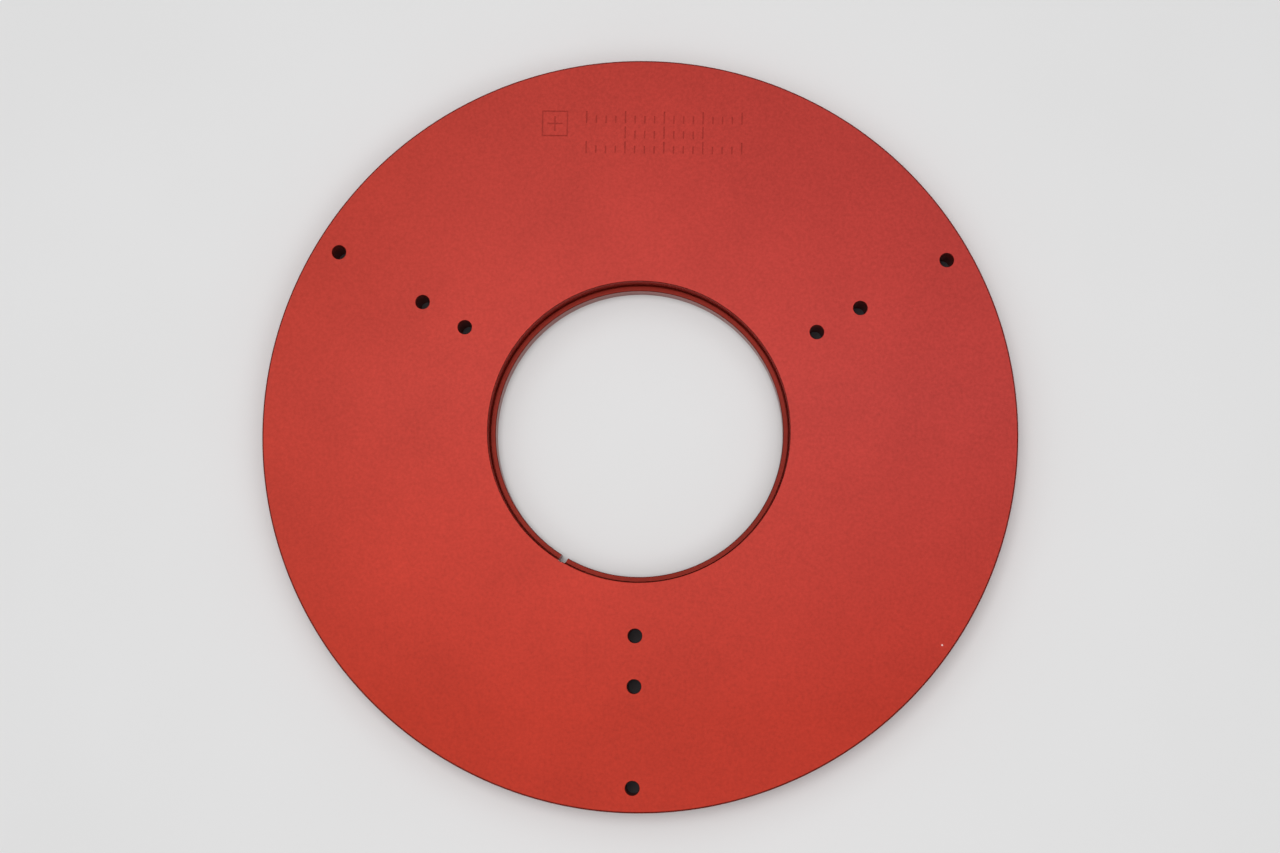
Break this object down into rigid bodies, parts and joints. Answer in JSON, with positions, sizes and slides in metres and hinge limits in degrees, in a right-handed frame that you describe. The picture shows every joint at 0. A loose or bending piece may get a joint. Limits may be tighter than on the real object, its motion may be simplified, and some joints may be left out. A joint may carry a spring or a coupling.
{
  "type": "annular tooling plate",
  "caption": "Flat ring plate with a large stepped bore, a thin notched ring in it, and small through holes in radial rows.",
  "frame": {"origin": "centre of the bore on the underside", "axes": "+Z along the bore axis, towards the marked face; -Y along one radial row of holes"},
  "size_m": [0.2, 0.2, 0.0127],
  "materials": {
    "plate_anodise": "bead-blasted, red anodised, satin",
    "ring_anodise": "turned, red anodised, satin"
  },
  "bodies": {
    "root": {"annular_plate": "plate_anodise", "ledge_ring": "ring_anodise"}
  },
  "joints": []
}
